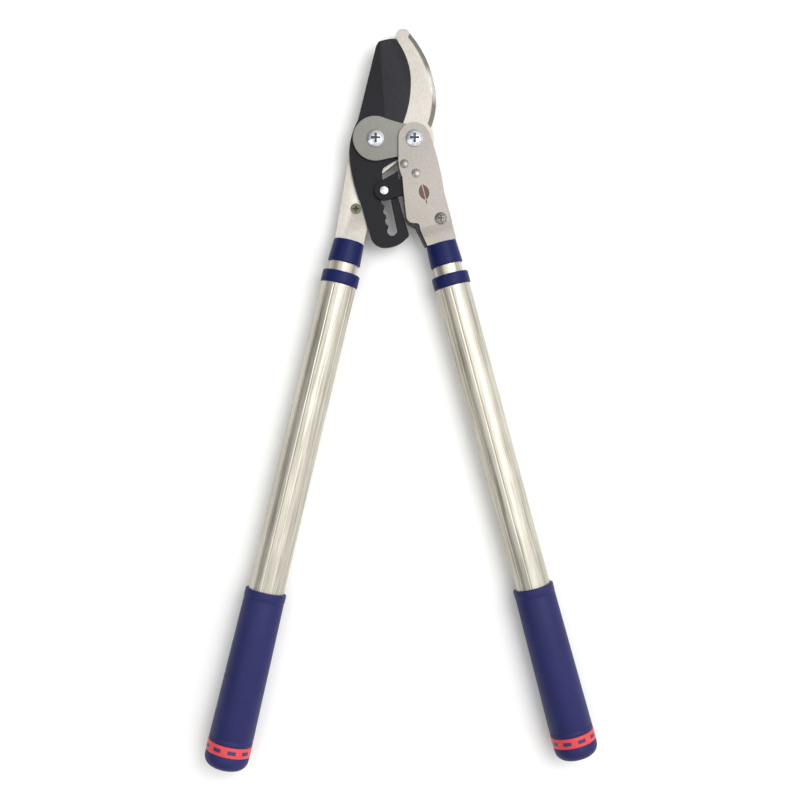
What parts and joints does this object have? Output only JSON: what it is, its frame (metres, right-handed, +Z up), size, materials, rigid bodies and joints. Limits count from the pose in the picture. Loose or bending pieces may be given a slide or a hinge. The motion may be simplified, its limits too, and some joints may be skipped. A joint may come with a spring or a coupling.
{
  "type": "bypass loppers",
  "caption": "Two-handed bypass loppers with a coated blade, steel hook, notched ratchet tail and telescopic tube handles with soft grips.",
  "frame": {"origin": "middle of the tool's footprint on the surface that its grips lie on", "axes": "+Y along the tool towards the jaws, +X towards the moving handle, +Z up out of its front face"},
  "size_m": [0.3618, 0.6856, 0.0407],
  "materials": {
    "blade_coating": "black non-stick coating, satin",
    "hook_steel": "satin ground steel",
    "plate_steel": "satin nickel plated steel",
    "tie_plate_steel": "dark satin steel",
    "link_steel": "black oxide",
    "zinc_hardware": "bright zinc plate",
    "bush_bronze": "plain bronze",
    "spring_steel": "drawn spring wire",
    "black_nylon": "moulded nylon",
    "collar_plastic": "navy moulded plastic",
    "tube_aluminium": "satin anodised",
    "grip_rubber": "navy soft moulding, fine texture",
    "band_plastic": "red moulded band"
  },
  "bodies": {
    "root": {"hook_blade": "hook_steel", "front_tie_plate": "tie_plate_steel", "blade_pivot_bolt": "zinc_hardware", "blade_pivot_washer": "zinc_hardware", "blade_pivot_nut": "zinc_hardware", "blade_pivot_bush": "bush_bronze", "handle_pivot_bolt": "zinc_hardware", "handle_pivot_nut": "zinc_hardware", "handle_pivot_spacer": "zinc_hardware", "left_backing_plate": "plate_steel", "left_tang_core": "black_nylon", "left_bracket_screw": "zinc_hardware", "left_screw_nut": "zinc_hardware", "left_upper_collar": "collar_plastic", "left_core_pin": "zinc_hardware", "left_inner_tube": "tube_aluminium", "left_guide_bush": "black_nylon"},
    "blade": {"cutting_blade": "blade_coating"},
    "right_handle": {"right_plate_front": "plate_steel", "right_plate_rear": "plate_steel", "right_tang_core": "black_nylon", "right_bracket_screw": "zinc_hardware", "right_screw_nut": "zinc_hardware", "link_pivot_rivet": "zinc_hardware", "spring_post_rivet": "zinc_hardware", "link_spacer": "zinc_hardware", "ratchet_spring": "spring_steel", "right_upper_collar": "collar_plastic", "right_core_pin": "zinc_hardware", "right_inner_tube": "tube_aluminium", "right_guide_bush": "black_nylon"},
    "link": {"ratchet_link": "link_steel", "ratchet_pin": "zinc_hardware"},
    "left_sleeve": {"left_outer_tube": "tube_aluminium", "left_lock_collet": "black_nylon", "left_tube_end_plug": "black_nylon", "left_grip": "grip_rubber", "left_grip_band": "band_plastic"},
    "right_sleeve": {"right_outer_tube": "tube_aluminium", "right_lock_collet": "black_nylon", "right_tube_end_plug": "black_nylon", "right_grip": "grip_rubber", "right_grip_band": "band_plastic"},
    "left_lock": {"left_lock_collar": "collar_plastic"},
    "right_lock": {"right_lock_collar": "collar_plastic"}
  },
  "joints": [
    {"name": "handle_open", "type": "hinge", "parent": "root", "child": "right_handle", "pos_m": [0.00978, 0.2372, 0.02035], "axis": [0, 0, 1], "range_deg": [0, 54]},
    {"name": "blade_swing", "type": "hinge", "parent": "root", "child": "blade", "pos_m": [-0.02622, 0.2372, 0.02035], "axis": [0, 0, 1], "range_deg": [0, 36]},
    {"name": "link_swing", "type": "hinge", "parent": "right_handle", "child": "link", "pos_m": [0.01128, 0.2046, 0.02035], "axis": [0, 0, 1], "range_deg": [-54, 0]},
    {"name": "left_extend", "type": "slide", "parent": "root", "child": "left_sleeve", "axis": [-0.2284, -0.9736, 0], "range_m": [0, 0.32]},
    {"name": "right_extend", "type": "slide", "parent": "right_handle", "child": "right_sleeve", "axis": [0.2588, -0.9659, 0], "range_m": [0, 0.32]},
    {"name": "left_lock_twist", "type": "hinge", "parent": "left_sleeve", "child": "left_lock", "pos_m": [-0.05854, 0.10645, 0.02035], "axis": [-0.2284, -0.9736, 0], "range_deg": [0, 90]},
    {"name": "right_lock_twist", "type": "hinge", "parent": "right_sleeve", "child": "right_lock", "pos_m": [0.04495, 0.10593, 0.02035], "axis": [0.2588, -0.9659, 0], "range_deg": [0, 90]}
  ],
  "couplings": [
    {"joint": "blade_swing", "follows": "handle_open", "ratio": 0.65},
    {"joint": "link_swing", "follows": "handle_open", "ratio": -0.985}
  ]
}
